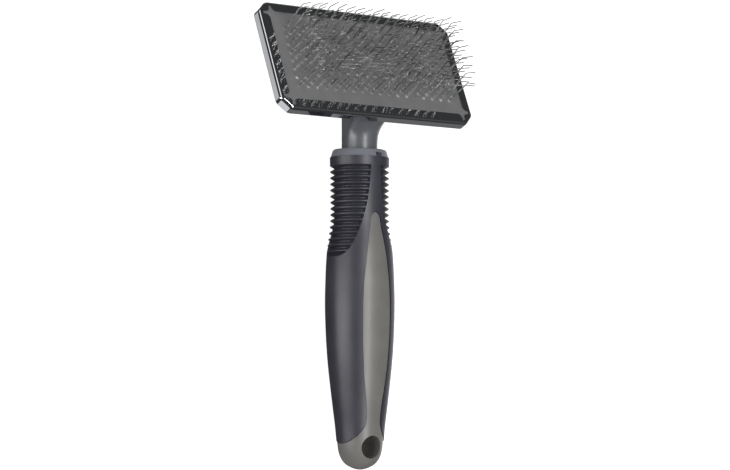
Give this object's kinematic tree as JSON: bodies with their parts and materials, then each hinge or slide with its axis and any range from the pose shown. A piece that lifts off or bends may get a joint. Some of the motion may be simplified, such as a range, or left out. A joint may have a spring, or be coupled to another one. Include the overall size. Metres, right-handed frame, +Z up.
{
  "type": "slicker brush",
  "caption": "Pet grooming slicker brush: fine bent wires set in a cushioned pad, held in a rectangular pressed-metal pan, on a grey neck and a soft ribbed grip with a hanging hole.",
  "frame": {"origin": "centre of the brush's bounding box, on the table it lies on", "axes": "+X along the head's long side, +Y along the handle from its hanging hole towards the head, +Z up, the way the wires stand when the brush lies on its back"},
  "size_m": [0.104, 0.2018, 0.0422],
  "materials": {
    "pan_chrome": "bright plated pressed steel",
    "wire_steel": "drawn stainless wire",
    "rivet_steel": "plated steel",
    "pad_rubber": "matt grey rubber sheet",
    "ply_cloth": "woven cotton ply",
    "foam": "closed-cell foam",
    "grey_plastic": "satin moulded",
    "grip_rubber": "soft-touch elastomer"
  },
  "bodies": {
    "root": {"pan_frame": "pan_chrome", "pad_face": "pad_rubber", "pad_ply": "ply_cloth", "pad_foam": "foam", "head_carrier": "grey_plastic", "pan_rivets": "rivet_steel", "handle_core": "grey_plastic", "grip_sleeve": "grip_rubber", "cross_pin": "rivet_steel", "wire_row_01": "wire_steel", "wire_row_02": "wire_steel", "wire_row_03": "wire_steel", "wire_row_04": "wire_steel", "wire_row_05": "wire_steel", "wire_row_06": "wire_steel", "wire_row_07": "wire_steel", "wire_row_08": "wire_steel", "wire_row_09": "wire_steel", "wire_row_10": "wire_steel", "wire_row_11": "wire_steel", "wire_row_12": "wire_steel", "wire_row_13": "wire_steel", "wire_row_14": "wire_steel", "wire_row_15": "wire_steel", "wire_row_16": "wire_steel"}
  },
  "joints": []
}
